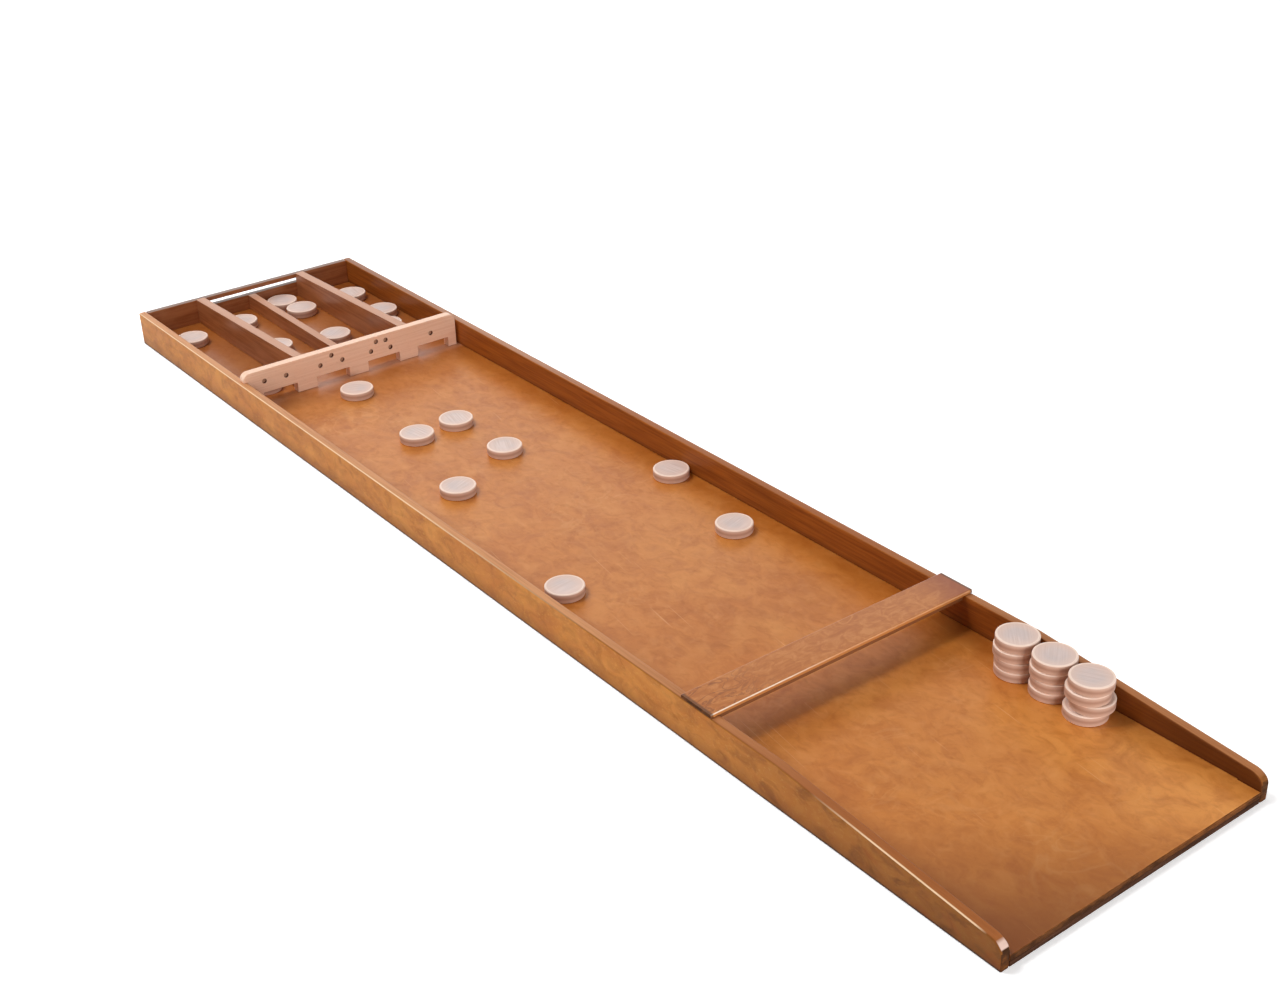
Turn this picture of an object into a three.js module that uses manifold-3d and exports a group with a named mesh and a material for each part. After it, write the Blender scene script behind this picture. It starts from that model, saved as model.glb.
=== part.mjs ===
// Dutch shuffleboard: a long wooden trough with a crossbar, four scoring gates and thirty discs.
// Millimetres, +Z up. The player stands at the -Y end and slides the discs towards +Y.
// The origin is on the ground, under the middle of the board.

import * as THREE from 'three';
import { mergeVertices } from 'three/addons/utils/BufferGeometryUtils.js';
import Module from 'manifold-3d';

// Whole board
const boardLength = 2000;
const boardWidth = 416;
const seam = 0.3; // space between two pieces that meet
const overrun = 2; // how far a cut runs past the face that it opens

// Side rails: level, then tapering down to a rounded nose at the player's end
const railHeight = 57;
const railThickness = 13;
const railArris = 2;
const taperLength = 322;
const noseHeight = 35;
const noseLength = 20;
const noseDrop = 14.5;
const noseSteps = 6;
const arrisSteps = 2;

// Floor panel, held in a groove of each rail that stops short of the nose
const panelUnderside = 7;
const panelThickness = 8;
const tongue = 4;
const tongueSetback = 30;

// Battens under the floor panel
const battenWidth = 30;

// Crossbar: a thin plank over both rails, with a batten under it
const crossbarSetback = 430; // from the player's end to its front edge
const plankWidth = 53.5;
const plankThickness = 5;
const plankArris = 2;
const plankArrisSteps = 3;
const plankBattenDepth = 9;
const plankBattenHeight = 7;
const plankBattenInset = 3;

// Gate bar
const gateBarThickness = 14;
const gateBarHeight = 56;
const gateWidth = 60;
const gateHeight = 17;
const leftGateMargin = 25; // from the left rail to the first gate
const rightGateMargin = 19.6; // from the last gate to the right rail
const gateBarEndGap = 4; // between the bar's right end and the right rail
const gateBarLap = 6; // how far its left end lies over the left rail
const gateBarCorner = 11;
const gateBarCornerSteps = 5;

// Drilled score dots on the front of the gate bar, from the player's left: 2, 3, 4 and 1.
// Each pair is a place across in shares of a gate's width, and up in shares of the bar over the gates.
const dotDiameter = 8;
const dotDepth = 4;
const dotSides = 16;
const scoreDotShares = [
  [[-0.44, 0.5], [0.2, 0.47]],
  [[-0.36, 0.44], [0, 0.75], [0.31, 0.42]],
  [[-0.38, 0.39], [-0.2, 0.76], [0.1, 0.72], [0.23, 0.34]],
  [[-0.05, 0.42]],
];

// Rear wall with the slot for the sliding lid
const rearWallThickness = 11;
const lidSlotHeight = 8.3;
const lidSlotLap = 6; // how far the slot runs on behind each outer divider

// Compartments, from the gate bar's back to the rear wall
const compartmentLength = 373;

// Compartment dividers: the outer two rise towards the gate bar, the middle one stays under the lid
const outerDividerThickness = 16;
const outerDividerRearHeight = 43.5;
const middleDividerThickness = 14;
const middleDividerHeight = 26;

// Discs
const discDiameter = 53;
const discThickness = 13;
const discRim = 2.5; // radius of its rounded edges
const discRimSteps = 1; // each step gives a rounded edge two facets
const discSides = 28;
const discGap = 0.3; // least space beside a disc

// Discs left on the playing field: place across in shares of the room beside a disc,
// and place along in shares of the field between crossbar and gate bar.
const fieldDiscShares = [
  [-0.25, 0.936],
  [-0.311, 0.753],
  [0.123, 0.757],
  [0.154, 0.642],
  [-0.577, 0.584],
  [-0.83, 0.292],
  [1, 0.443],
  [0.798, 0.28],
];

// Discs in the four compartments, from the player's left and from the rear wall forwards:
// place across in shares of the side room, and space behind the disc in shares of the free length.
const scoredDiscShares = [
  [[-0.26, 0.208], [0.26, 0.77]],
  [[-0.43, 0.158], [-0.63, 0.328]],
  [[-0.32, 0.015], [0.45, 0.002], [-0.39, 0.442]],
  [[0.38, 0.25], [0.63, 0.247], [-0.82, 0.039]],
];

// Three stacks of four discs behind one another along the right rail, in front of the crossbar.
// Each disc lies off its stack's axis by shares of the sway, from the bottom disc upwards.
const stackSetback = 82.5; // from the crossbar to the first stack
const stackSpace = 2.4; // between two stacks
const sway = 2.4;
const stackShares = [
  [[1, -0.46], [0.9, -0.38], [0.15, 0.21], [0.6, -0.17]],
  [[0.75, 0.04], [1, -0.5], [0.5, 0.2], [0.9, -0.33]],
  [[-0.9, 0.5], [1, -1.25], [-0.8, 0.38], [0.1, -0.33]],
];

// Places worked out from the sizes above
const frontY = -boardLength / 2;
const rearY = boardLength / 2;
const railInside = boardWidth / 2 - railThickness;
const floorTop = panelUnderside + panelThickness;
const standing = floorTop + seam; // underside of what stands on the floor
const rearWallFace = rearY - rearWallThickness;
const crossbarFront = frontY + crossbarSetback;
const crossbarBack = crossbarFront + plankWidth;
const gateBack = rearWallFace - compartmentLength;
const gateFront = gateBack - gateBarThickness;
const gateBarTop = standing + gateBarHeight;
const gateTop = standing + gateHeight;
const gateCount = scoreDotShares.length;
const gatePitch = (2 * railInside - leftGateMargin - rightGateMargin - gateWidth) / (gateCount - 1);
const firstGateX = -railInside + leftGateMargin + gateWidth / 2;
const outerDividerX = railInside / 2;
const dividerInnerFace = outerDividerX - outerDividerThickness / 2;
const slotHalfWidth = dividerInnerFace + lidSlotLap;
const lidUnderside = standing + middleDividerHeight;
const dividerFrontY = gateBack + seam;
const dividerRearY = rearWallFace - seam;
const dividerLength = dividerRearY - dividerFrontY;
const discRadius = discDiameter / 2;

const wood = {
  beech: new THREE.MeshStandardMaterial({ color: 0xcf9a72, roughness: 0.45, metalness: 0 }),
  rail: new THREE.MeshStandardMaterial({ color: 0xb5733f, roughness: 0.4, metalness: 0 }),
  floor: new THREE.MeshStandardMaterial({ color: 0xc08552, roughness: 0.35, metalness: 0 }),
  stained: new THREE.MeshStandardMaterial({ color: 0x8a5230, roughness: 0.5, metalness: 0 }),
  batten: new THREE.MeshStandardMaterial({ color: 0x9a6238, roughness: 0.6, metalness: 0 }),
  disc: new THREE.MeshStandardMaterial({ color: 0xe3cdbd, roughness: 0.4, metalness: 0 }),
};

const wasm = await Module();
wasm.setup();

// A closed geometry as a solid that can be cut
function toSolid(geometry) {
  const bare = geometry.clone();
  bare.deleteAttribute('normal');
  bare.deleteAttribute('uv');
  const merged = mergeVertices(bare);
  const mesh = new wasm.Mesh({
    numProp: 3,
    vertProperties: Float32Array.from(merged.attributes.position.array),
    triVerts: Uint32Array.from(merged.index.array),
  });
  return new wasm.Manifold(mesh);
}

function toGeometry(solid) {
  const mesh = solid.getMesh();
  const geometry = new THREE.BufferGeometry();
  geometry.setAttribute('position', new THREE.BufferAttribute(mesh.vertProperties, 3));
  geometry.setIndex(new THREE.BufferAttribute(mesh.triVerts, 1));
  geometry.computeVertexNormals();
  return geometry;
}

// The geometry with each of the cutting geometries taken away
function cut(geometry, cutters) {
  const solid = cutters.reduce((rest, cutter) => rest.subtract(toSolid(cutter)), toSolid(geometry));
  return toGeometry(solid);
}

// A block between two corners
function block(low, high) {
  const size = high.map((value, axis) => value - low[axis]);
  const centre = high.map((value, axis) => (value + low[axis]) / 2);
  return new THREE.BoxGeometry(...size).translate(...centre);
}

// An outline in Y and Z, drawn along X from fromX
function alongX(outline, fromX, width, options = {}) {
  const basis = new THREE.Matrix4().makeBasis(
    new THREE.Vector3(0, 1, 0),
    new THREE.Vector3(0, 0, 1),
    new THREE.Vector3(1, 0, 0),
  );
  const geometry = new THREE.ExtrudeGeometry(outline, { depth: width, bevelEnabled: false, ...options });
  return geometry.applyMatrix4(basis).translate(fromX, 0, 0);
}

// An outline in X and Z, drawn along Y from fromY
function alongY(outline, fromY, depth, options = {}) {
  const geometry = new THREE.ExtrudeGeometry(outline, { depth, bevelEnabled: false, ...options });
  return geometry.rotateX(Math.PI / 2).translate(0, fromY + depth, 0);
}

function rectangle(lowX, lowY, highX, highY) {
  const outline = new THREE.Path();
  outline.moveTo(lowX, lowY);
  outline.lineTo(highX, lowY);
  outline.lineTo(highX, highY);
  outline.lineTo(lowX, highY);
  outline.closePath();
  return outline;
}

const board = new THREE.Group();

function add(name, geometry, material) {
  const mesh = new THREE.Mesh(geometry, material);
  mesh.name = name;
  board.add(mesh);
}

// Side rails
function railOutline() {
  const outline = new THREE.Shape();
  outline.moveTo(frontY, 0);
  outline.lineTo(rearY, 0);
  outline.lineTo(rearY, railHeight);
  outline.lineTo(frontY + taperLength, railHeight);
  outline.lineTo(frontY + noseLength, noseHeight);
  outline.absellipse(
    frontY + noseLength, noseHeight - noseDrop, noseLength, noseDrop, Math.PI / 2, Math.PI, false,
  );
  outline.closePath();
  return outline;
}

function rail(fromX, side) {
  const body = alongX(railOutline(), fromX + railArris, railThickness - 2 * railArris, {
    curveSegments: noseSteps,
    bevelEnabled: true,
    bevelThickness: railArris,
    bevelSize: railArris,
    bevelOffset: -railArris,
    bevelSegments: arrisSteps,
  });
  const grooveX = [side * (railInside - overrun), side * (railInside + tongue)].sort((a, b) => a - b);
  const groove = block(
    [grooveX[0], frontY + tongueSetback - seam, panelUnderside - seam],
    [grooveX[1], dividerRearY + seam, floorTop + seam],
  );
  return cut(body, [groove]);
}

add('left_rail', rail(-boardWidth / 2, -1), wood.rail);
add('right_rail', rail(railInside, 1), wood.rail);

// Floor panel with a tongue along each side
function floorPanel() {
  const halfWidth = railInside - seam;
  const outline = new THREE.Shape();
  outline.moveTo(-halfWidth, frontY);
  outline.lineTo(halfWidth, frontY);
  outline.lineTo(halfWidth, frontY + tongueSetback);
  outline.lineTo(halfWidth + tongue, frontY + tongueSetback);
  outline.lineTo(halfWidth + tongue, dividerRearY);
  outline.lineTo(-halfWidth - tongue, dividerRearY);
  outline.lineTo(-halfWidth - tongue, frontY + tongueSetback);
  outline.lineTo(-halfWidth, frontY + tongueSetback);
  outline.closePath();
  const geometry = new THREE.ExtrudeGeometry(outline, { depth: panelThickness, bevelEnabled: false });
  return geometry.translate(0, 0, panelUnderside);
}

add('floor_panel', floorPanel(), wood.floor);

// Battens under the floor panel, from the player's end to the rear wall
const battenNames = ['front_batten', 'front_middle_batten', 'rear_middle_batten', 'rear_batten'];
const battenStep = (boardLength - rearWallThickness - seam - battenWidth) / (battenNames.length - 1);
battenNames.forEach((name, index) => {
  const fromY = frontY + index * battenStep;
  const low = [-railInside + seam, fromY, 0];
  const high = [railInside - seam, fromY + battenWidth, panelUnderside - seam];
  add(name, block(low, high), wood.batten);
});

// Rear wall between the rails
function rearWall() {
  const halfWidth = railInside - seam;
  const outline = new THREE.Shape(rectangle(-halfWidth, 0, halfWidth, railHeight).getPoints());
  const slotTop = lidUnderside + lidSlotHeight;
  outline.holes.push(rectangle(-slotHalfWidth, lidUnderside, slotHalfWidth, slotTop));
  return alongY(outline, rearWallFace, rearWallThickness);
}

add('rear_wall', rearWall(), wood.stained);

// Outer dividers, as high as the gate bar at their front end
function outerDivider(side) {
  const outline = new THREE.Shape();
  outline.moveTo(dividerFrontY, standing);
  outline.lineTo(dividerRearY, standing);
  outline.lineTo(dividerRearY, standing + outerDividerRearHeight);
  outline.lineTo(dividerFrontY, gateBarTop);
  outline.closePath();
  return alongX(outline, side * outerDividerX - outerDividerThickness / 2, outerDividerThickness);
}

add('left_divider', outerDivider(-1), wood.stained);
add('right_divider', outerDivider(1), wood.stained);

const middleDivider = block(
  [-middleDividerThickness / 2, dividerFrontY, standing],
  [middleDividerThickness / 2, dividerRearY, lidUnderside],
);
add('middle_divider', middleDivider, wood.stained);

// Gate bar: feet between the gates, its left end lying over the rail
function gateBarOutline() {
  const leftEnd = -railInside + seam;
  const lapEnd = -railInside - gateBarLap;
  const rightEnd = railInside - gateBarEndGap;
  const lapUnderside = railHeight + seam;
  const outline = new THREE.Shape();
  outline.moveTo(leftEnd, standing);
  for (let gate = 0; gate < gateCount; gate += 1) {
    const left = firstGateX + gate * gatePitch - gateWidth / 2;
    const right = left + gateWidth;
    outline.lineTo(left, standing);
    outline.lineTo(left, gateTop);
    outline.lineTo(right, gateTop);
    outline.lineTo(right, standing);
  }
  outline.lineTo(rightEnd, standing);
  outline.absarc(rightEnd - gateBarCorner, gateBarTop - gateBarCorner, gateBarCorner, 0, Math.PI / 2, false);
  outline.absarc(lapEnd + gateBarCorner, gateBarTop - gateBarCorner, gateBarCorner, Math.PI / 2, Math.PI, false);
  outline.lineTo(lapEnd, lapUnderside);
  outline.lineTo(leftEnd, lapUnderside);
  outline.closePath();
  return outline;
}

function scoreDots() {
  return scoreDotShares.flatMap((dots, gate) => dots.map(([acrossShare, upShare]) => {
    const x = firstGateX + gate * gatePitch + acrossShare * gateWidth;
    const z = gateTop + upShare * (gateBarTop - gateTop);
    const length = dotDepth + overrun;
    const drill = new THREE.CylinderGeometry(dotDiameter / 2, dotDiameter / 2, length, dotSides);
    return drill.translate(x, gateFront + dotDepth - length / 2, z);
  }));
}

const gateBody = alongY(gateBarOutline(), gateFront, gateBarThickness, { curveSegments: gateBarCornerSteps });
add('gate_bar', cut(gateBody, scoreDots()), wood.beech);

// Crossbar over the rails
function plankOutline() {
  const low = railHeight + seam;
  const high = low + plankThickness;
  const outline = new THREE.Shape();
  outline.moveTo(crossbarFront, low);
  outline.lineTo(crossbarBack, low);
  outline.absarc(crossbarBack - plankArris, high - plankArris, plankArris, 0, Math.PI / 2, false);
  outline.absarc(crossbarFront + plankArris, high - plankArris, plankArris, Math.PI / 2, Math.PI, false);
  outline.closePath();
  return outline;
}

add('crossbar_plank', alongX(plankOutline(), -boardWidth / 2, boardWidth, { curveSegments: plankArrisSteps }), wood.rail);

const plankBatten = block(
  [-railInside + seam, crossbarFront + plankBattenInset, railHeight - plankBattenHeight],
  [railInside - seam, crossbarFront + plankBattenInset + plankBattenDepth, railHeight],
);
add('crossbar_batten', plankBatten, wood.rail);

// Discs
function discGeometry() {
  const profile = new THREE.Path();
  profile.moveTo(0, 0);
  profile.lineTo(discRadius - discRim, 0);
  profile.absarc(discRadius - discRim, discRim, discRim, -Math.PI / 2, 0, false);
  profile.absarc(discRadius - discRim, discThickness - discRim, discRim, 0, Math.PI / 2, false);
  profile.lineTo(0, discThickness);
  return new THREE.LatheGeometry(profile.getPoints(discRimSteps), discSides).rotateX(Math.PI / 2);
}

const disc = discGeometry();

function addDisc(name, x, y, underside) {
  const mesh = new THREE.Mesh(disc, wood.disc);
  mesh.name = name;
  mesh.position.set(x, y, underside);
  board.add(mesh);
}

const sideRoom = railInside - discRadius - discGap;
const fieldLength = gateFront - crossbarBack;
fieldDiscShares.forEach(([acrossShare, alongShare], index) => {
  const x = acrossShare * sideRoom;
  const y = crossbarBack + alongShare * fieldLength;
  addDisc(`field_disc_${index + 1}`, x, y, standing);
});

const middleDividerFace = middleDividerThickness / 2;
const dividerOuterFace = outerDividerX + outerDividerThickness / 2;
const compartmentWalls = [
  [-railInside, -dividerOuterFace],
  [-dividerInnerFace, -middleDividerFace],
  [middleDividerFace, dividerInnerFace],
  [dividerOuterFace, railInside],
];

let scoredCount = 0;
scoredDiscShares.forEach((row, compartment) => {
  const [leftWall, rightWall] = compartmentWalls[compartment];
  const middle = (leftWall + rightWall) / 2;
  const room = (rightWall - leftWall) / 2 - discRadius - discGap;
  const freeLength = dividerLength - row.length * (discDiameter + discGap);
  let behind = dividerRearY;
  row.forEach(([acrossShare, spaceShare]) => {
    const y = behind - spaceShare * freeLength - discGap - discRadius;
    behind = y - discRadius;
    scoredCount += 1;
    addDisc(`scored_disc_${scoredCount}`, middle + acrossShare * room, y, standing);
  });
});

const stackX = sideRoom - sway;
stackShares.forEach((stack, index) => {
  const stackY = crossbarFront - stackSetback - discRadius - index * (discDiameter + stackSpace);
  stack.forEach(([acrossShare, alongShare], layer) => {
    const name = `stack_${index + 1}_disc_${layer + 1}`;
    const underside = standing + layer * (discThickness + seam);
    addDisc(name, stackX + acrossShare * sway, stackY + alongShare * sway, underside);
  });
});

export default board;
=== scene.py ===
"""A dutch shuffleboard of stained wood with its thirty pale discs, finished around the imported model."""

import math

import bmesh
import bpy
from mathutils import Matrix, Vector, noise


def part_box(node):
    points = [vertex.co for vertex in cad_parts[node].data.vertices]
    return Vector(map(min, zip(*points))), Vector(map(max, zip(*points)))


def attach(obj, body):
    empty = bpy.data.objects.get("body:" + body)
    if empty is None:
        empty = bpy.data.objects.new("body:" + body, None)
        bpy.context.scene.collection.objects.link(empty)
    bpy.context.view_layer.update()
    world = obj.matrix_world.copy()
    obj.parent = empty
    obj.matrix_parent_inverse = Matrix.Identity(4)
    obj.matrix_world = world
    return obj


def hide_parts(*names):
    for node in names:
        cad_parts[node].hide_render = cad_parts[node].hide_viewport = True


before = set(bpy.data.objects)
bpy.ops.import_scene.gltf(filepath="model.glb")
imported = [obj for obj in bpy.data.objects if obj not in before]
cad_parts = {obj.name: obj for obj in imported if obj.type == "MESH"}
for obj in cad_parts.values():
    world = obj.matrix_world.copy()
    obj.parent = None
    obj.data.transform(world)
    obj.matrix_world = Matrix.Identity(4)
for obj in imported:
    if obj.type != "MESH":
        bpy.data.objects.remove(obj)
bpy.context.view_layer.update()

MM = 0.001
ACROSS, ALONG, UP = 0, 1, 2
SEED = 7

# Faces of the imported pieces, by which stains, wear, painted shade and painted light are placed
rail_low, rail_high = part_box("right_rail")
RAIL_INSIDE = rail_low.x
RAIL_OUTSIDE = rail_high.x
RAIL_TOP = rail_high.z
NEAR_END = rail_low.y
FLOOR_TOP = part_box("floor_panel")[1].z
GATE_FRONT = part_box("gate_bar")[0].y

# The camera of the photograph, found from the board's straight edges
FRAME_WIDTH = 1280
FOCAL_PIXELS = 1741.65
SENSOR = 36.0
CAMERA_PLACE = Vector((-1.20246, -1.79802, 1.18542))
CAMERA_TURN = math.radians(36.45)
CAMERA_DOWN = math.radians(28.39)
CAMERA_ROLL = math.radians(-1.88)

# Discs: a rounded edge, a raised ring inside it and a shallow dish in the middle, alike on both faces
DISC_EDGE = 1.6 * MM
DISC_RING = 0.9 * MM
DISC_SLOPE = 1.2 * MM
DISC_DISH = 0.35 * MM
MIDDLE_SHARE = 0.5
DISC_SIDES = 72
EDGE_STEPS = 4

# Softened edges of the boards
EDGE = 0.8 * MM
RAIL_EDGE = 0.6 * MM
EDGE_SEGMENTS = 3
SHARP = math.radians(35)
FLAT = math.radians(1)

# Points of a mesh that lie nearer to each other than this are one
WELD = 0.01 * MM

# A face counts as a board's end where it faces this much along it
END_FACING = 0.9

# Walls and bottoms of the drilled score dots have their middles this far behind the gate bar's front
DOT_SHALLOWEST, DOT_DEEPEST = 1.0 * MM, 4.4 * MM


# Materials

# Sockets of the Mix node when it mixes colours, and when it mixes numbers
FACTOR, COLOUR_A, COLOUR_B, MIXED = 0, 6, 7, 2
NUMBER_A, NUMBER_B = 2, 3

# The middle of a noise, and the span that most of it lies in
NOISE_MIDDLE = 0.5
NOISE_LOW, NOISE_HIGH = 0.3, 0.7

# How far the roughness of a surface strays to either side, and how far under thick varnish
UNEVEN = 0.05
UNEVEN_THICK = 0.012

# How much a surface faces up where it starts to be a top or an arris, and where it wholly is one
TOP_STARTS, TOP_FULL = 0.75, 0.97
ARRIS_STARTS, ARRIS_FULL = 0.25, 0.5


def srgb(code):
    """An sRGB hex colour as linear red, green, blue and alpha."""
    channels = [int(code[k:k + 2], 16) / 255 for k in (0, 2, 4)]
    linear = [c / 12.92 if c <= 0.04045 else ((c + 0.055) / 1.055) ** 2.4 for c in channels]
    return (*linear, 1.0)


def node(tree, kind, values=None, **settings):
    """Adds a node, with its settings, and its inputs as values or as links."""
    new = tree.nodes.new("ShaderNode" + kind)
    for name, setting in settings.items():
        setattr(new, name, setting)
    for socket, value in (values or {}).items():
        if isinstance(value, bpy.types.NodeSocket):
            tree.links.new(value, new.inputs[socket])
        else:
            new.inputs[socket].default_value = value
    return new


def wood(name, **constants):
    """A material with its constants set on the shader: returns it, its tree and the shader."""
    material = bpy.data.materials.new(name)
    material.use_nodes = True
    tree = material.node_tree
    shader = tree.nodes["Principled BSDF"]
    for socket, value in constants.items():
        shader.inputs[socket.replace("_", " ")].default_value = value
    return material, tree, shader


def varnish(tree, shader, colour, relief, depth, uneven=UNEVEN):
    """Gives the shader its finished colour, and the wood's fine relief and uneven gloss under it."""
    raised = node(tree, "Bump", {"Height": relief, "Distance": depth})
    dull = shader.inputs["Roughness"].default_value
    gloss = node(tree, "MapRange", {
        "Value": relief, "From Min": NOISE_LOW, "From Max": NOISE_HIGH,
        "To Min": dull - uneven, "To Max": dull + uneven,
    })
    tree.links.new(gloss.outputs[0], shader.inputs["Roughness"])
    tree.links.new(colour, shader.inputs["Base Color"])
    tree.links.new(raised.outputs[0], shader.inputs["Normal"])


def figure(tree, size, detail=3.0, roughness=0.55, distortion=0.0, turn=0.0,
           shift=(0.0, 0.0, 0.0), place=None):
    """Wood figure, streaks or clouds whose blots measure size in mm along X, Y and Z of the Object
    coordinates, or of another place."""
    if place is None:
        place = node(tree, "TexCoord").outputs["Object"]
    scale = [1 / (side * MM) for side in size]
    turned = node(tree, "Mapping", {"Vector": place, "Rotation": (0.0, 0.0, turn)})
    mapped = node(tree, "Mapping", {"Vector": turned.outputs[0], "Scale": scale, "Location": shift})
    return node(tree, "TexNoise", {
        "Vector": mapped.outputs[0], "Scale": 1.0, "Detail": detail,
        "Roughness": roughness, "Distortion": distortion,
    }).outputs["Fac"]


def curls(tree, size, distortion, shift=(0.0, 0.0, 0.0)):
    """Thin curling lines of figure: nought on a line, and more the further from one."""
    swirl = figure(tree, size, detail=2.5, distortion=distortion, shift=shift)
    off = node(tree, "Math", {0: swirl, 1: NOISE_MIDDLE}, operation="SUBTRACT").outputs[0]
    return node(tree, "Math", {0: off}, operation="ABSOLUTE").outputs[0]


# Lays real stains, and painted light and shade, alike
def stain_or_painted_light(tree, colour, tint, pattern, low, high, most=1.0, only=None):
    """Lays a tint over a colour: none where the pattern is at low, most where it is at high, and
    only where the second pattern, if there is one, is near one."""
    amount = node(tree, "MapRange", {
        "Value": pattern, "From Min": low, "From Max": high, "To Max": most,
    }).outputs[0]
    if only is not None:
        amount = node(tree, "Math", {0: amount, 1: only}, operation="MULTIPLY").outputs[0]
    return node(tree, "Mix", {FACTOR: amount, COLOUR_A: colour, COLOUR_B: srgb(tint)},
                data_type="RGBA").outputs[MIXED]


def place_on(tree, axis):
    """One Object coordinate of the surface, in metres."""
    place = node(tree, "TexCoord").outputs["Object"]
    return node(tree, "SeparateXYZ", {0: place}).outputs[axis]


def off_middle(tree):
    """How far the surface lies from the board's middle line, in metres."""
    return node(tree, "Math", {0: place_on(tree, ACROSS)}, operation="ABSOLUTE").outputs[0]


def facing(tree, axis):
    """How much the surface faces along an axis, from minus one to one."""
    outwards = node(tree, "NewGeometry").outputs["Normal"]
    return node(tree, "SeparateXYZ", {0: outwards}).outputs[axis]


def near_arris(tree):
    """Minus a half where the surface faces both the player and up, and nought on a flat face."""
    return node(tree, "Math", {0: facing(tree, ALONG), 1: facing(tree, UP)},
                operation="MULTIPLY").outputs[0]


def floor_figure(tree, specks):
    """Cloudy mottled figure of the floor with a few faint curls, and painted light that makes the near
    right warmer and brighter.
    """
    clouds = figure(tree, (170, 240, 100), detail=3.0, roughness=0.6, distortion=0.6)
    patches = figure(tree, (34, 44, 40), detail=5.0, roughness=0.62, distortion=1.0, shift=(3.1, 1.7, 0.0))
    dabs = figure(tree, (18, 26, 16), detail=2.0, roughness=0.5, distortion=0.8, shift=(7.7, 0.4, 0.0))
    where = figure(tree, (120, 150, 100), detail=1.0, shift=(6.0, 2.5, 0.0))
    sparse = node(tree, "MapRange", {"Value": where, "From Min": 0.5, "From Max": 0.7}).outputs[0]
    near = node(tree, "MapRange", {
        "Value": place_on(tree, ALONG), "From Min": NEAR_END + 340 * MM, "From Max": NEAR_END + 140 * MM,
    }).outputs[0]
    colour = stain_or_painted_light(tree, srgb("c07129"), "cb8038", clouds, 0.35, 0.65)
    # Painted light: a paler, warmer tint that brightens the floor's near right
    colour = stain_or_painted_light(tree, colour, "e89c4c", place_on(tree, ACROSS), 20 * MM, 180 * MM, 0.8, only=near)
    colour = stain_or_painted_light(tree, colour, "a45617", patches, 0.45, 0.7, 0.55)
    colour = stain_or_painted_light(tree, colour, "d88f47", patches, 0.46, 0.28, 0.3)
    colour = stain_or_painted_light(tree, colour, "9c5218", specks, 0.5, 0.74, 0.3)
    colour = stain_or_painted_light(tree, colour, "da9450", dabs, 0.52, 0.74, 0.28)
    return stain_or_painted_light(tree, colour, "e0a566", curls(tree, (60, 42, 50), 1.0), 0.04, 0.0, 0.2, only=sparse)


def floor_wear_and_shade(tree, colour):
    """Straight scratches along the floor; painted shade, redder and darker, by the rails and under and
    behind the gate bar, with its painted shadow before it; and darker at the near left corner, along a
    slanting line."""
    slant = 0.9
    scratches = figure(tree, (2.6, 130, 4), detail=0.0, turn=math.radians(8), shift=(9.0, 4.0, 0.0))
    across = node(tree, "Math", {0: place_on(tree, ACROSS), 1: slant}, operation="MULTIPLY").outputs[0]
    near_left = node(tree, "Math", {0: place_on(tree, ALONG), 1: across}, operation="ADD").outputs[0]
    # Painted shade: the floor redder and darker by the rails
    colour = stain_or_painted_light(tree, colour, "934a12", off_middle(tree),
                   RAIL_INSIDE - 50 * MM, RAIL_INSIDE - 17 * MM, 0.35)
    colour = stain_or_painted_light(tree, colour, "6f3a12", near_left, NEAR_END + 100 * MM, NEAR_END - 120 * MM, 0.75)
    colour = stain_or_painted_light(tree, colour, "e0a870", scratches, 0.8, 0.86, 0.45)
    # Painted shadow of the gate bar on the floor before it
    colour = stain_or_painted_light(tree, colour, "8d4a20", place_on(tree, ALONG),
                   GATE_FRONT - 142 * MM, GATE_FRONT - 2 * MM, 0.4)
    # Painted shade on the floor under the gate bar and just behind it
    return stain_or_painted_light(tree, colour, "7a3c1c", place_on(tree, ALONG),
                 GATE_FRONT + 3 * MM, GATE_FRONT + 38 * MM, 0.3)


def floor_at_gates(tree, colour):
    """A painted shadow that darkens the corner at the left before the gates, and a strip in the other gates
    painted a dull pink as light and reflection."""
    left = node(tree, "MapRange", {
        "Value": place_on(tree, ACROSS), "From Min": -90 * MM, "From Max": -140 * MM,
    }).outputs[0]
    before = node(tree, "MapRange", {
        "Value": place_on(tree, ALONG), "From Min": GATE_FRONT + 8 * MM, "From Max": GATE_FRONT - 7 * MM,
    }).outputs[0]
    corner = node(tree, "Math", {0: left, 1: before}, operation="MULTIPLY").outputs[0]
    reached = node(tree, "MapRange", {
        "Value": place_on(tree, ALONG), "From Min": GATE_FRONT - 18 * MM, "From Max": GATE_FRONT,
    }).outputs[0]
    other_gates = node(tree, "MapRange", {
        "Value": place_on(tree, ACROSS), "From Min": -100 * MM, "From Max": -80 * MM,
    }).outputs[0]
    in_gates = node(tree, "Math", {0: reached, 1: other_gates}, operation="MULTIPLY").outputs[0]
    # Painted shadow in the left corner before the gate bar
    colour = stain_or_painted_light(tree, colour, "6a3513", place_on(tree, ALONG),
                   GATE_FRONT - 62 * MM, GATE_FRONT - 17 * MM, 0.6, only=corner)
    # Painted light and reflection: a dull pink strip in the other gates
    return stain_or_painted_light(tree, colour, "d9a488", place_on(tree, ALONG),
                 GATE_FRONT + 20 * MM, GATE_FRONT + 6 * MM, 0.42, only=in_gates)


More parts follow.
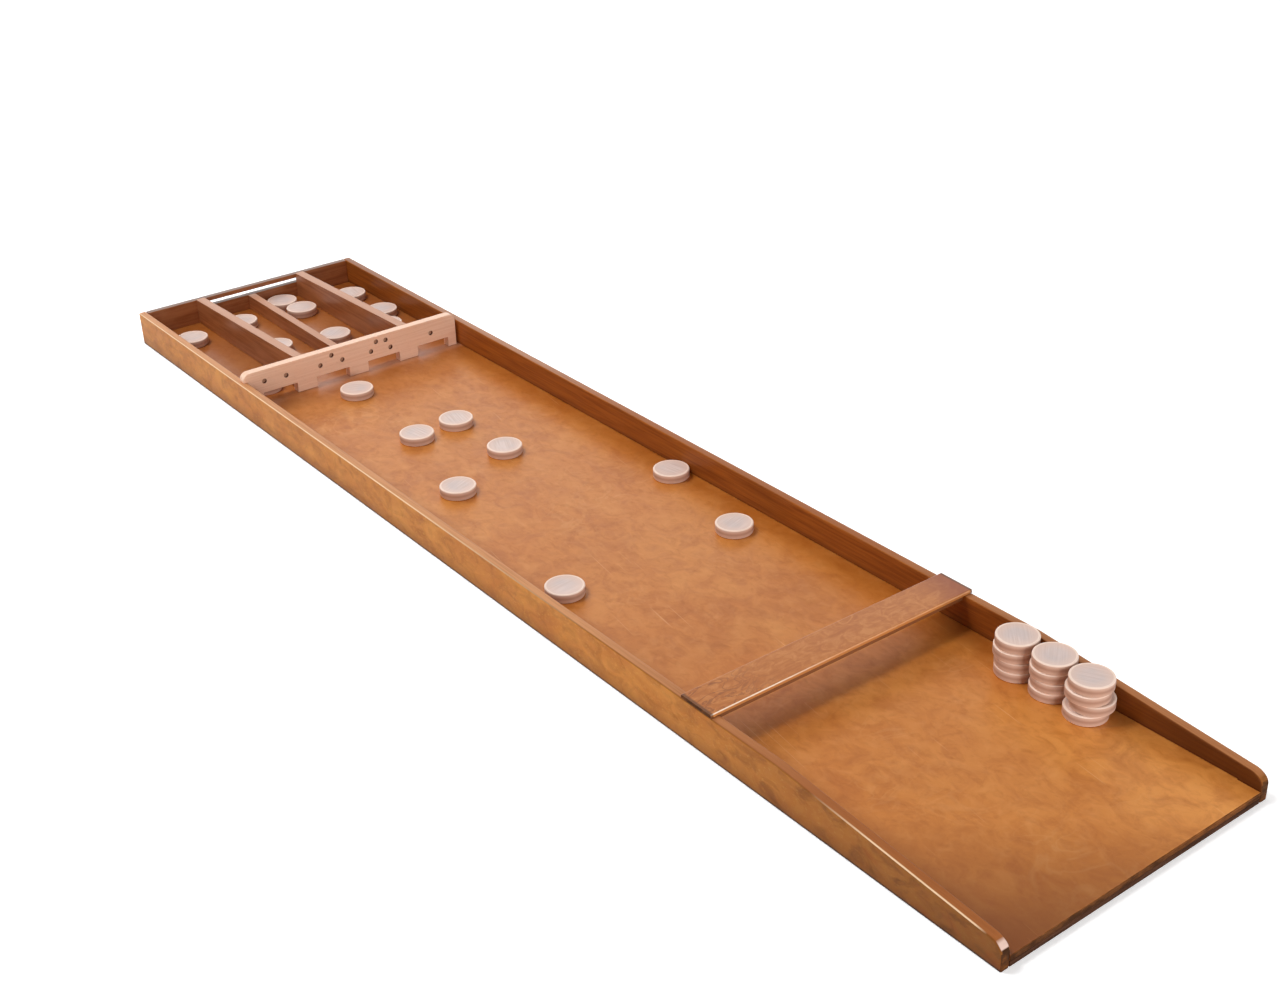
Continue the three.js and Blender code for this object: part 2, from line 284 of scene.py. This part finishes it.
def played_floor():
    """Birch plywood stained honey orange under a rubbed varnish: a cloudy mottled satin surface with
    scratches from play, redder and darker at its edges, partly in painted shade, with painted light in
    places."""
    material, tree, shader = wood("played_birch_plywood", Roughness=0.38, Coat_Weight=0.12,
                                  Coat_Roughness=0.25)
    specks = figure(tree, (9, 16, 10), detail=3.0, roughness=0.6, distortion=0.5, shift=(1.2, 8.3, 0.0))
    colour = floor_figure(tree, specks)
    colour = floor_wear_and_shade(tree, colour)
    colour = floor_at_gates(tree, colour)
    varnish(tree, shader, colour, specks, 0.03 * MM)
    return material


def sawn_end(name, layers):
    """Sawn ends of the boards, stained dark and left dull, with paler layers whose size in mm is that
    of the plies or of the end grain's patches."""
    material, tree, shader = wood(name, Roughness=0.75, Specular_IOR_Level=0.12)
    paler = figure(tree, layers, detail=2.0)
    grime = figure(tree, (22, 22, 9), detail=3.0, roughness=0.6, shift=(2.0, 0.0, 5.0))
    colour = stain_or_painted_light(tree, srgb("58351b"), "96592a", paler, 0.48, 0.62, 0.7)
    colour = stain_or_painted_light(tree, colour, "2c180b", grime, 0.42, 0.62, 0.7)
    varnish(tree, shader, colour, paler, 0.08 * MM)
    return material


def rail_outside(tree, fleck):
    """Patchy flecked figure on the rails' outsides, darker towards the player's end in painted shade, with
    redder and darker patches there, where hands hold them, and dark along the bottom."""
    broad = figure(tree, (60, 70, 40), detail=4.0, roughness=0.6, distortion=0.8)
    flame = figure(tree, (30, 34, 20), detail=3.0, roughness=0.55, distortion=1.0, turn=math.radians(12))
    handled = node(tree, "MapRange", {
        "Value": place_on(tree, ALONG), "From Min": NEAR_END + 550 * MM, "From Max": NEAR_END + 150 * MM,
    }).outputs[0]
    colour = stain_or_painted_light(tree, srgb("c2742a"), "d38a38", broad, 0.35, 0.65)
    colour = stain_or_painted_light(tree, colour, "9b5413", flame, 0.45, 0.72, 0.6)
    colour = stain_or_painted_light(tree, colour, "dda552", fleck, 0.56, 0.76, 0.4)
    colour = stain_or_painted_light(tree, colour, "7a4516", place_on(tree, UP), 24 * MM, 0.0, 0.6)
    # Painted shade: the rails' outsides darker towards the player's end
    colour = stain_or_painted_light(tree, colour, "66380f", place_on(tree, ALONG), NEAR_END + 500 * MM, NEAR_END, 0.72)
    colour = stain_or_painted_light(tree, colour, "8c3f10", broad, 0.5, 0.64, 0.6, only=handled)
    colour = stain_or_painted_light(tree, colour, "4a2a0c", flame, 0.48, 0.76, 0.45, only=handled)
    return stain_or_painted_light(tree, colour, "1c0c04", place_on(tree, UP), 5 * MM, 2 * MM, 0.92)


def rail_tops(tree, colour, left, streak):
    """Straight grain on the rails' tops: the left one paler but for its near end, partly rubbed and partly
    a painted sheen, the right one greyer towards its middle with a painted sheen, warmer near the player
    and browner at the far end."""
    top = node(tree, "MapRange", {
        "Value": facing(tree, UP), "From Min": TOP_STARTS, "From Max": TOP_FULL,
    }).outputs[0]
    left_top = node(tree, "Math", {0: left, 1: top}, operation="MULTIPLY").outputs[0]
    right_top = node(tree, "Math", {0: top, 1: left_top}, operation="SUBTRACT").outputs[0]
    colour = stain_or_painted_light(tree, colour, "a26135", top, 0.0, 1.0)
    # Paler left top: partly rubbed wood, partly a painted sheen
    colour = stain_or_painted_light(tree, colour, "d29565", place_on(tree, ALONG),
                   NEAR_END + 250 * MM, NEAR_END + 700 * MM, 0.9, only=left_top)
    # Painted sheen: the right top greyer from its middle on
    colour = stain_or_painted_light(tree, colour, "c09478", place_on(tree, ALONG),
                   NEAR_END + 1100 * MM, NEAR_END + 1350 * MM, 0.5, only=right_top)
    colour = stain_or_painted_light(tree, colour, "bb8256", place_on(tree, ALONG),
                   NEAR_END + 600 * MM, NEAR_END + 400 * MM, 0.5, only=right_top)
    colour = stain_or_painted_light(tree, colour, "7d5038", place_on(tree, ALONG),
                   NEAR_END + 1550 * MM, NEAR_END + 1950 * MM, 0.55, only=right_top)
    return stain_or_painted_light(tree, colour, "8a4d27", streak, 0.45, 0.7, 0.35, only=top)


def rail_arrises(tree, colour, left):
    """Outer arrises of the rails, brown, and on the left one a pale painted highlight along its far part
    and in a stretch before its nose, whose bend has a pale painted highlight too. The ends are dark."""
    outer = node(tree, "MapRange", {
        "Value": off_middle(tree), "From Min": RAIL_OUTSIDE - 2.0 * MM, "From Max": RAIL_OUTSIDE - 1.2 * MM,
    }).outputs[0]
    far = node(tree, "MapRange", {
        "Value": place_on(tree, ALONG), "From Min": NEAR_END + 650 * MM, "From Max": NEAR_END + 1100 * MM,
    }).outputs[0]
    near = node(tree, "MapRange", {
        "Value": place_on(tree, ALONG), "From Min": NEAR_END + 270 * MM, "From Max": NEAR_END + 180 * MM,
    }).outputs[0]
    before_nose = node(tree, "MapRange", {
        "Value": place_on(tree, ALONG), "From Min": NEAR_END + 20 * MM, "From Max": NEAR_END + 35 * MM,
    }).outputs[0]
    highlight_near_nose = node(tree, "Math", {0: near, 1: before_nose}, operation="MULTIPLY").outputs[0]
    highlight_reach = node(tree, "Math", {0: far, 1: highlight_near_nose}, operation="MAXIMUM").outputs[0]
    outer_left = node(tree, "Math", {0: outer, 1: left}, operation="MULTIPLY").outputs[0]
    pale = node(tree, "Math", {0: highlight_reach, 1: outer_left}, operation="MULTIPLY").outputs[0]
    colour = stain_or_painted_light(tree, colour, "7a4520", facing(tree, UP), ARRIS_STARTS, ARRIS_FULL, 0.6, only=outer)
    # Painted highlight along the left rail's outer arris
    colour = stain_or_painted_light(tree, colour, "f4d3ab", facing(tree, UP), ARRIS_STARTS, ARRIS_FULL, 0.95, only=pale)
    # Painted highlight on the bend of the left rail's nose
    colour = stain_or_painted_light(tree, colour, "e8c8ba", near_arris(tree), -0.36, -0.47, 0.85, only=left)
    return stain_or_painted_light(tree, colour, "4c2a12", facing(tree, ALONG), -0.84, -0.97, 0.85)


def rail_inside(tree, colour, streak):
    """The rails' insides stained redder, streaked along them and darker towards the player, with painted
    shade that darkens them by the floor."""
    inner = node(tree, "MapRange", {
        "Value": off_middle(tree), "From Min": RAIL_INSIDE + 1.6 * MM, "From Max": RAIL_INSIDE + 0.6 * MM,
    }).outputs[0]
    colour = stain_or_painted_light(tree, colour, "a05821", inner, 0.0, 1.0)
    colour = stain_or_painted_light(tree, colour, "743812", streak, 0.4, 0.7, 0.8, only=inner)
    colour = stain_or_painted_light(tree, colour, "47210a", place_on(tree, ALONG),
                   NEAR_END + 400 * MM, NEAR_END + 100 * MM, 0.75, only=inner)
    # Painted shade on the rails' insides by the floor
    return stain_or_painted_light(tree, colour, "4a240c", place_on(tree, UP), FLOOR_TOP + 9 * MM, FLOOR_TOP, 0.5, only=inner)


def stained_rail():
    """Beech stained golden brown under a varnish thinned by wear: a low satin shine on flecked, handled
    wood, with painted highlights on the arrises and painted shade and sheen in places."""
    material, tree, shader = wood("stained_beech_rail", Roughness=0.36, Specular_IOR_Level=0.14,
                                  Coat_Weight=0.03, Coat_Roughness=0.14)
    fleck = figure(tree, (3, 5, 2.5), detail=2.0, shift=(5.0, 2.0, 7.0))
    streak = figure(tree, (3, 120, 4), detail=3.0, roughness=0.6, distortion=0.4)
    left = node(tree, "Math", {0: place_on(tree, ACROSS), 1: 0.0}, operation="LESS_THAN").outputs[0]
    colour = rail_outside(tree, fleck)
    colour = rail_tops(tree, colour, left, streak)
    colour = rail_arrises(tree, colour, left)
    colour = rail_inside(tree, colour, streak)
    varnish(tree, shader, colour, fleck, 0.06 * MM)
    return material


def stained_inner_wood(name, grain, top):
    """Beech with a brown stain, satin: orange-brown faces streaked along the grain, whose size in mm
    follows the board, and a top of its own tint, rubbed pale by hands or dull."""
    material, tree, shader = wood(name, Roughness=0.42, Coat_Weight=0.2, Coat_Roughness=0.2)
    streak = figure(tree, grain, detail=3.0, roughness=0.6, distortion=0.4)
    blots = figure(tree, (50, 90, 30), detail=3.0)
    colour = stain_or_painted_light(tree, srgb("a2613a"), "83451f", streak, 0.4, 0.7)
    colour = stain_or_painted_light(tree, colour, "b27046", blots, 0.45, 0.65, 0.4)
    colour = stain_or_painted_light(tree, colour, top, facing(tree, UP), TOP_STARTS, TOP_FULL)
    varnish(tree, shader, colour, streak, 0.06 * MM)
    return material


def gate_beech():
    """Planed beech with clear varnish: pinkish cream with fine flecks along the bar."""
    material, tree, shader = wood("planed_beech_gate", Roughness=0.38, Coat_Weight=0.25,
                                  Coat_Roughness=0.15)
    streak = figure(tree, (90, 4, 2.5), detail=3.0, distortion=0.3)
    fleck = figure(tree, (5, 1.2, 1.2), detail=1.0, shift=(4.0, 1.0, 2.0))
    colour = stain_or_painted_light(tree, srgb("f9cfb4"), "f0c1a2", streak, 0.35, 0.7)
    colour = stain_or_painted_light(tree, colour, "cc997e", fleck, 0.62, 0.75, 0.25)
    varnish(tree, shader, colour, fleck, 0.05 * MM)
    return material


def drilled_dot():
    """Bare grain in the drilled dots, dull: dark brown walls round a bottom painted paler as lit."""
    material, tree, shader = wood("dark_stained_end_grain", Roughness=0.75)
    pores = figure(tree, (1.2, 1.2, 1.2), detail=2.0)
    colour = stain_or_painted_light(tree, srgb("7d4f3a"), "5c3626", pores, 0.35, 0.65)
    # Painted light: the dots' bottoms paler than their walls
    colour = stain_or_painted_light(tree, colour, "c89478", facing(tree, ALONG), -0.8, -0.97, 0.8)
    varnish(tree, shader, colour, pores, 0.1 * MM)
    return material


def glossy_crossbar():
    """Stained beech under thick even varnish: mottled, curly towards the left end and redder at the right,
    with dark ends, a front face painted lighter as lit, a painted highlight along the front edge, whitest
    at the left, and painted shade on the batten."""
    material, tree, shader = wood("varnished_beech_crossbar", Roughness=0.3, Coat_Weight=0.4,
                                  Coat_Roughness=0.1)
    streak = figure(tree, (120, 5, 5), detail=3.0, distortion=0.5)
    mottle = figure(tree, (20, 14, 14), detail=4.0, roughness=0.6, distortion=1.2)
    curly = curls(tree, (34, 15, 30), 1.2, shift=(2.0, 5.0, 1.0))
    front_arris = near_arris(tree)
    left_end = node(tree, "MapRange", {
        "Value": place_on(tree, ACROSS), "From Min": -90 * MM, "From Max": -170 * MM,
    }).outputs[0]
    left_third = node(tree, "MapRange", {
        "Value": place_on(tree, ACROSS), "From Min": -20 * MM, "From Max": -120 * MM,
    }).outputs[0]
    colour = stain_or_painted_light(tree, srgb("ba6f2d"), "b06525", streak, 0.4, 0.68)
    colour = stain_or_painted_light(tree, colour, "d18c4d", mottle, 0.48, 0.7, 0.6)
    colour = stain_or_painted_light(tree, colour, "9f5421", mottle, 0.5, 0.32, 0.4)
    colour = stain_or_painted_light(tree, colour, "8c3c0e", place_on(tree, ACROSS), 155 * MM, 195 * MM, 0.75)
    colour = stain_or_painted_light(tree, colour, "86481f", curly, 0.045, 0.0, 0.85, only=left_end)
    # Painted light on the crossbar's front face
    colour = stain_or_painted_light(tree, colour, "c98448", facing(tree, ALONG), -0.6, -0.95)
    # Painted highlight along the crossbar's front edge, whitest at the left
    colour = stain_or_painted_light(tree, colour, "dc9a62", front_arris, -0.25, -0.42, 0.7)
    colour = stain_or_painted_light(tree, colour, "fae3cb", front_arris, -0.3, -0.45, 0.95, only=left_third)
    # Painted shade on the batten under the crossbar
    colour = stain_or_painted_light(tree, colour, "6e4128", place_on(tree, UP), RAIL_TOP, RAIL_TOP - 0.6 * MM, 0.85)
    colour = stain_or_painted_light(tree, colour, "5c3216", off_middle(tree),
                   RAIL_OUTSIDE - 5.0 * MM, RAIL_OUTSIDE - 2.5 * MM, 0.8)
    varnish(tree, shader, colour, streak, 0.012 * MM, UNEVEN_THICK)
    return material


def batten_wood():
    """Stained softwood, rough sawn and matt."""
    material, tree, shader = wood("stained_softwood_batten", Roughness=0.7, Specular_IOR_Level=0.15)
    streak = figure(tree, (80, 3, 3), detail=3.0, distortion=0.3)
    colour = stain_or_painted_light(tree, srgb("523322"), "372013", streak, 0.35, 0.65)
    varnish(tree, shader, colour, streak, 0.15 * MM)
    return material


def waxed_disc():
    """Turned pale maple, waxed and handled: a dish from bluish grey in the middle to pinkish cream, a
    painted highlight on the ring and rounded edge round it, browner sides, and each disc with its own grain
    direction."""
    material, tree, shader = wood("waxed_maple_disc", Roughness=0.42, Coat_Weight=0.1, Coat_Roughness=0.2)
    place = node(tree, "Attribute", attribute_name="wood_place").outputs["Vector"]
    ring = node(tree, "Attribute", attribute_name="ring").outputs["Fac"]
    streak = figure(tree, (60, 2.5, 4), detail=3.0, roughness=0.5, place=place)
    broad = figure(tree, (30, 30, 30), detail=2.0, roughness=0.5, place=place)
    level = node(tree, "Math", {0: facing(tree, UP)}, operation="ABSOLUTE").outputs[0]
    colour = stain_or_painted_light(tree, srgb("dec8c0"), "cfb5a9", streak, 0.4, 0.66)
    colour = stain_or_painted_light(tree, colour, "cbbab6", broad, 0.4, 0.62, 0.6)
    colour = stain_or_painted_light(tree, colour, "e2c2b2", ring, 0.05, 0.3, 0.8)
    colour = stain_or_painted_light(tree, colour, "d4b09c", level, 0.5, 0.1, 0.9)
    # Painted highlight on the disc's ring and rounded edge
    colour = stain_or_painted_light(tree, colour, "f7ddcc", ring, 0.4, 1.0, 0.9)
    colour = stain_or_painted_light(tree, colour, "a0725f", ring, -0.2, -0.9, 0.6)
    varnish(tree, shader, colour, streak, 0.04 * MM)
    return material


# Pieces

def finished(name, shape, materials, body, stands_for):
    """Makes an object of a bmesh, smooth but for its sharp edges, in place of a CAD node."""
    mesh = bpy.data.meshes.new(name)
    shape.to_mesh(mesh)
    shape.free()
    mesh.shade_smooth()
    for material in materials:
        mesh.materials.append(material)
    piece = bpy.data.objects.new(name, mesh)
    bpy.context.scene.collection.objects.link(piece)
    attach(piece, body)
    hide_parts(stands_for)
    return piece


def at_player(face):
    """Whether a face is a board's sawn end at the player."""
    return -face.normal.y > END_FACING


def at_sides(face):
    """Whether a face is a sawn end of a board that lies across."""
    return abs(face.normal.x) > END_FACING


def in_dot(face):
    """Whether a face is a wall or the bottom of a drilled dot in the gate bar."""
    return DOT_SHALLOWEST < face.calc_center_median().y - GATE_FRONT < DOT_DEEPEST


def board(node_name, materials, body, edge=EDGE, second=None):
    """A CAD board with its sharp edges softened. Faces that second picks get the second material."""
    shape = bmesh.new()
    shape.from_mesh(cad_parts[node_name].data)
    bmesh.ops.remove_doubles(shape, verts=shape.verts, dist=WELD)
    bmesh.ops.dissolve_limit(shape, angle_limit=FLAT, verts=shape.verts, edges=shape.edges)
    if second:
        shape.normal_update()
        for face in shape.faces:
            face.material_index = int(second(face))
    corners = [e for e in shape.edges if e.calc_face_angle(0.0) > SHARP]
    bmesh.ops.bevel(shape, geom=corners, offset=edge, offset_type="OFFSET", affect="EDGES",
                    segments=EDGE_SEGMENTS, profile=0.5, material=-1, clamp_overlap=True)
    piece = finished(node_name + "_finished", shape, materials, body, node_name)
    even = piece.modifiers.new("even_shading", "WEIGHTED_NORMAL")
    even.keep_sharp = True


def disc_outline(radius, thickness):
    """Half of a disc's section, from the middle of its underside to the middle of its top. Each point
    also says how much it belongs to the raised ring: less than nought in the middle of the side."""
    shoulder = radius - DISC_EDGE
    dish = shoulder - DISC_RING - DISC_SLOPE
    lower = [
        (0.0, DISC_DISH, 0.0),
        (dish * MIDDLE_SHARE, DISC_DISH, 0.05),
        (dish, DISC_DISH, 0.3),
        (dish + DISC_SLOPE / 2, DISC_DISH / 2, 0.6),
        (dish + DISC_SLOPE, 0.0, 1.0),
    ]
    for step in range(EDGE_STEPS + 1):
        angle = math.pi / 2 * step / EDGE_STEPS
        height = DISC_EDGE * (1 - math.cos(angle))
        on_ring = 1.0 if step < EDGE_STEPS else 0.0
        lower.append((shoulder + DISC_EDGE * math.sin(angle), height, on_ring))
    side = (radius, thickness / 2, -1.0)
    upper = [(r, thickness - z, on_ring) for r, z, on_ring in reversed(lower)]
    return lower + [side] + upper


def disc(node_name, material, turn):
    """A turned disc in place of its CAD node, with its grain turned and cut from a place of its own."""
    low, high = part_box(node_name)
    centre = Vector(((low.x + high.x) / 2, (low.y + high.y) / 2, low.z))
    shape = bmesh.new()
    ring = shape.verts.layers.float.new("ring")
    wood_place = shape.verts.layers.float_vector.new("wood_place")
    outline = []
    for radius, height, on_ring in disc_outline((high.y - low.y) / 2, high.z - low.z):
        vert = shape.verts.new((radius, 0.0, height))
        vert[ring] = on_ring
        outline.append(vert)
    edges = [shape.edges.new(pair) for pair in zip(outline, outline[1:])]
    bmesh.ops.spin(shape, geom=outline + edges, axis=(0, 0, 1), cent=(0, 0, 0), angle=math.tau,
                   steps=DISC_SIDES, use_merge=True)
    bmesh.ops.remove_doubles(shape, verts=shape.verts, dist=WELD)
    bmesh.ops.recalc_face_normals(shape, faces=shape.faces)
    turned = Matrix.Rotation(turn, 3, "Z")
    for vert in shape.verts:
        vert[wood_place] = turned @ vert.co + centre
    bmesh.ops.translate(shape, verts=shape.verts, vec=centre)
    finished(node_name + "_finished", shape, [material], node_name, node_name)


def furnish():
    """Makes the materials and finishes every piece, each disc with a random turn of its grain."""
    rail = stained_rail()
    divider = stained_inner_wood("stained_beech_divider", (3, 110, 5), "bd8462")
    wall = stained_inner_wood("stained_beech_wall", (110, 3, 5), "7c5c4b")
    crossbar = glossy_crossbar()
    batten = batten_wood()
    pale = waxed_disc()
    rail_end = sawn_end("sawn_beech_end", (12, 12, 8))
    ply_edge = sawn_end("sawn_plywood_edge", (400, 400, 1.3))
    for name in ("left_rail", "right_rail"):
        board(name, [rail, rail_end], "board", RAIL_EDGE, second=at_player)
    board("floor_panel", [played_floor(), ply_edge], "board", second=at_player)
    board("rear_wall", [wall], "board")
    for name in ("left_divider", "middle_divider", "right_divider"):
        board(name, [divider], "board")
    for name in ("front_batten", "front_middle_batten", "rear_middle_batten", "rear_batten"):
        board(name, [batten], "board")
    board("gate_bar", [gate_beech(), drilled_dot()], "gate_bar", second=in_dot)
    board("crossbar_plank", [crossbar, rail_end], "crossbar", second=at_sides)
    board("crossbar_batten", [crossbar], "crossbar")
    for name in sorted(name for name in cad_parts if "_disc_" in name):
        disc(name, pale, turn=math.tau * noise.random())


# Studio

# The floor's own glow, which only the camera sees: less by the board, where the shadow has to show
GLOW_NEAR, GLOW_FAR = 0.42, 0.8
GLOW_NEAR_RADIUS, GLOW_FAR_RADIUS = 1.2, 3.0
FLOOR_SIZE = 40.0

# Heights of a direction, from nought at the horizon to one overhead, between which the light changes
LOW_SKY, HIGH_SKY = 0.38, 0.6

# Levels of the soft light from all round, at the horizon and high up
SOFT_LOW, SOFT_HIGH = 0.16, 0.2

# Levels of the room that the varnish mirrors, low down and high up
MIRROR_LOW, MIRROR_HIGH = 1.6, 0.2


def studio_floor():
    """A white sweep that keeps the board's soft shadow."""
    material, tree, shader = wood("studio_floor", Roughness=0.9, Specular_IOR_Level=0.0)
    shader.inputs["Base Color"].default_value = srgb("f4f4f4")
    seen = node(tree, "LightPath").outputs["Is Camera Ray"]
    place = node(tree, "TexCoord").outputs["Object"]
    away = node(tree, "VectorMath", {0: place}, operation="LENGTH").outputs["Value"]
    white = node(tree, "MapRange", {
        "Value": away, "From Min": GLOW_NEAR_RADIUS, "From Max": GLOW_FAR_RADIUS,
        "To Min": GLOW_NEAR, "To Max": GLOW_FAR,
    }).outputs[0]
    glow = node(tree, "Math", {0: seen, 1: white}, operation="MULTIPLY").outputs[0]
    shader.inputs["Emission Color"].default_value = (1.0, 1.0, 1.0, 1.0)
    tree.links.new(glow, shader.inputs["Emission Strength"])
    bpy.ops.mesh.primitive_plane_add(size=FLOOR_SIZE)
    ground = bpy.context.object
    ground.name = "studio_floor"
    ground.data.materials.append(material)


def studio_world():
    """A white room: plain for the camera, soft all round for the light that it gives, and for what the
    varnish mirrors bright near the horizon and dim overhead."""
    world = bpy.data.worlds.new("studio")
    bpy.context.scene.world = world
    world.use_nodes = True
    tree = world.node_tree
    background = tree.nodes["Background"]
    background.inputs["Color"].default_value = (1.0, 1.0, 1.0, 1.0)
    direction = node(tree, "TexCoord").outputs["Generated"]
    height = node(tree, "SeparateXYZ", {0: direction}).outputs[UP]
    soft = node(tree, "MapRange", {
        "Value": height, "From Min": 0.0, "From Max": HIGH_SKY, "To Min": SOFT_LOW, "To Max": SOFT_HIGH,
    }).outputs[0]
    mirrored = node(tree, "MapRange", {
        "Value": height, "From Min": LOW_SKY, "From Max": HIGH_SKY,
        "To Min": MIRROR_LOW, "To Max": MIRROR_HIGH,
    }).outputs[0]
    path = node(tree, "LightPath")
    room = node(tree, "Mix", {
        FACTOR: path.outputs["Is Glossy Ray"], NUMBER_A: soft, NUMBER_B: mirrored,
    }).outputs[0]
    level = node(tree, "Mix", {
        FACTOR: path.outputs["Is Camera Ray"], NUMBER_A: room, NUMBER_B: 1.0,
    }).outputs[0]
    tree.links.new(level, background.inputs["Strength"])


def add_lamp(name, place, energy, size, glossy=True):
    """A flat lamp that points at the middle of the board. Unless glossy, the varnish doesn't mirror it."""
    light = bpy.data.lights.new(name, "AREA")
    light.energy = energy
    light.size = size
    lamp = bpy.data.objects.new(name, light)
    lamp.location = place
    lamp.rotation_euler = (-Vector(place)).to_track_quat("-Z", "Y").to_euler()
    lamp.visible_glossy = glossy
    bpy.context.scene.collection.objects.link(lamp)


def studio_lamps():
    """A key lamp high over the board from its left, soft lamps behind and low in front, and two small
    ones that the edges catch."""
    add_lamp("key_lamp", place=(-1.6, 0.9, 4.2), energy=92.0, size=1.1, glossy=False)
    add_lamp("back_lamp", place=(-0.6, 7.0, 6.3), energy=250.0, size=5.0, glossy=False)
    add_lamp("back_right_lamp", place=(1.6, 2.6, 2.6), energy=20.0, size=1.2, glossy=False)
    add_lamp("front_lamp", place=(-0.8, -3.8, 0.6), energy=68.0, size=1.2, glossy=False)
    add_lamp("front_edge_lamp", place=(1.45, -2.1, 1.8), energy=7.0, size=0.6)
    add_lamp("left_edge_lamp", place=(-1.9, 0.6, 1.5), energy=7.0, size=0.5)


def camera():
    """The camera of the photograph, turned, tilted down and rolled as it was held."""
    forward = Vector((
        math.sin(CAMERA_TURN) * math.cos(CAMERA_DOWN),
        math.cos(CAMERA_TURN) * math.cos(CAMERA_DOWN),
        -math.sin(CAMERA_DOWN),
    ))
    level_right = forward.cross(Vector((0.0, 0.0, 1.0))).normalized()
    level_up = level_right.cross(forward)
    right = level_right * math.cos(CAMERA_ROLL) + level_up * math.sin(CAMERA_ROLL)
    up = level_up * math.cos(CAMERA_ROLL) - level_right * math.sin(CAMERA_ROLL)
    turned = Matrix((right, up, -forward)).transposed().to_4x4()
    lens = bpy.data.cameras.new("camera")
    lens.sensor_width = SENSOR
    lens.lens = FOCAL_PIXELS / FRAME_WIDTH * SENSOR
    eye = bpy.data.objects.new("camera", lens)
    eye.matrix_world = Matrix.Translation(CAMERA_PLACE) @ turned
    bpy.context.scene.collection.objects.link(eye)
    bpy.context.scene.camera = eye


noise.seed_set(SEED)
furnish()
studio_floor()
studio_world()
studio_lamps()
camera()
bpy.context.scene.view_settings.view_transform = "Standard"
